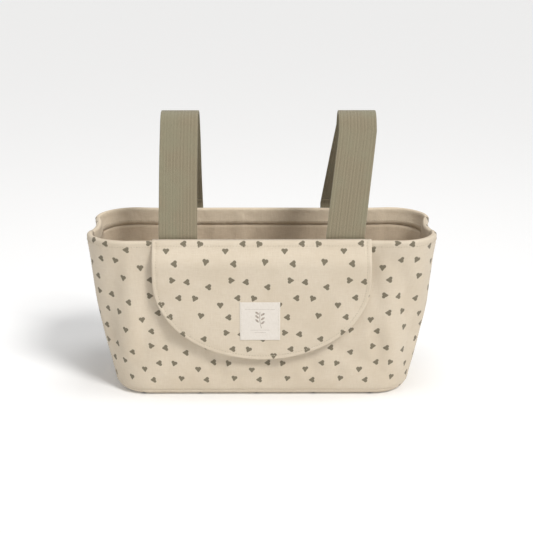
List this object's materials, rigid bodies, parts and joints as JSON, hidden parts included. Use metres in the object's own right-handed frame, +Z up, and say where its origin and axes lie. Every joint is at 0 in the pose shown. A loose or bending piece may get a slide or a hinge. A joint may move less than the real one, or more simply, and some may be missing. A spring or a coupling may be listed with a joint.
{
  "type": "diaper bag",
  "caption": "Open fabric tote with a rounded front flap pocket and two webbing loops that hang it from a pram handlebar.",
  "frame": {"origin": "middle of the base, on the surface that the bag stands on", "axes": "+X along the bag, to the right of someone who faces the flap; +Y from the flap towards the pram; +Z up"},
  "size_m": [0.3704, 0.1665, 0.298],
  "materials": {
    "cover_cloth": "plain canvas with a small print",
    "lining_cloth": "plain cotton",
    "wadding": "foam with a fleece face",
    "webbing": "ribbed cotton webbing",
    "tape": "hook and loop tape",
    "elastic": "ribbed elastic",
    "label_cloth": "woven label",
    "board": "stiff polyethylene sheet",
    "snap_metal": "nickel plated steel"
  },
  "bodies": {
    "bag": {"front_panel": "cover_cloth", "back_panel": "cover_cloth", "left_gusset": "cover_cloth", "right_gusset": "cover_cloth", "base_panel": "cover_cloth", "rim_facing": "cover_cloth", "pocket_panel": "cover_cloth", "front_lining": "lining_cloth", "back_lining": "lining_cloth", "left_lining": "lining_cloth", "right_lining": "lining_cloth", "base_lining": "lining_cloth", "inner_pocket": "lining_cloth", "front_padding": "wadding", "back_padding": "wadding", "left_padding": "wadding", "right_padding": "wadding", "base_padding": "wadding", "left_strap_root": "webbing", "left_loop_tape": "tape", "right_strap_root": "webbing", "right_loop_tape": "tape", "inner_pocket_elastic": "elastic", "bottle_loop": "elastic", "base_board": "board", "snap_socket": "snap_metal", "snap_socket_plate": "snap_metal"},
    "flap": {"flap_cover": "cover_cloth", "flap_padding": "wadding", "flap_lining": "lining_cloth", "woven_label": "label_cloth", "snap_stud": "snap_metal", "snap_stud_plate": "snap_metal"},
    "left_strap": {"left_strap_loop": "webbing"},
    "left_strap_end": {"left_strap_tail": "webbing", "left_hook_tape": "tape"},
    "right_strap": {"right_strap_loop": "webbing"},
    "right_strap_end": {"right_strap_tail": "webbing", "right_hook_tape": "tape"}
  },
  "joints": [
    {"name": "flap_hinge", "type": "hinge", "parent": "bag", "child": "flap", "pos_m": [0, -0.0756, 0.176], "axis": [-1, 0, 0], "range_deg": [0, 145]},
    {"name": "left_strap_swing", "type": "hinge", "parent": "bag", "child": "left_strap", "pos_m": [-0.087, -0.0686, 0.179], "axis": [1, 0, 0], "range_deg": [0, 40]},
    {"name": "left_strap_peel", "type": "hinge", "parent": "left_strap", "child": "left_strap_end", "pos_m": [-0.087, 0.0786, 0.1772], "axis": [1, 0, 0], "range_deg": [0, 90]},
    {"name": "right_strap_swing", "type": "hinge", "parent": "bag", "child": "right_strap", "pos_m": [0.087, -0.0686, 0.179], "axis": [1, 0, 0], "range_deg": [0, 40]},
    {"name": "right_strap_peel", "type": "hinge", "parent": "right_strap", "child": "right_strap_end", "pos_m": [0.087, 0.0786, 0.1772], "axis": [1, 0, 0], "range_deg": [0, 90]}
  ]
}
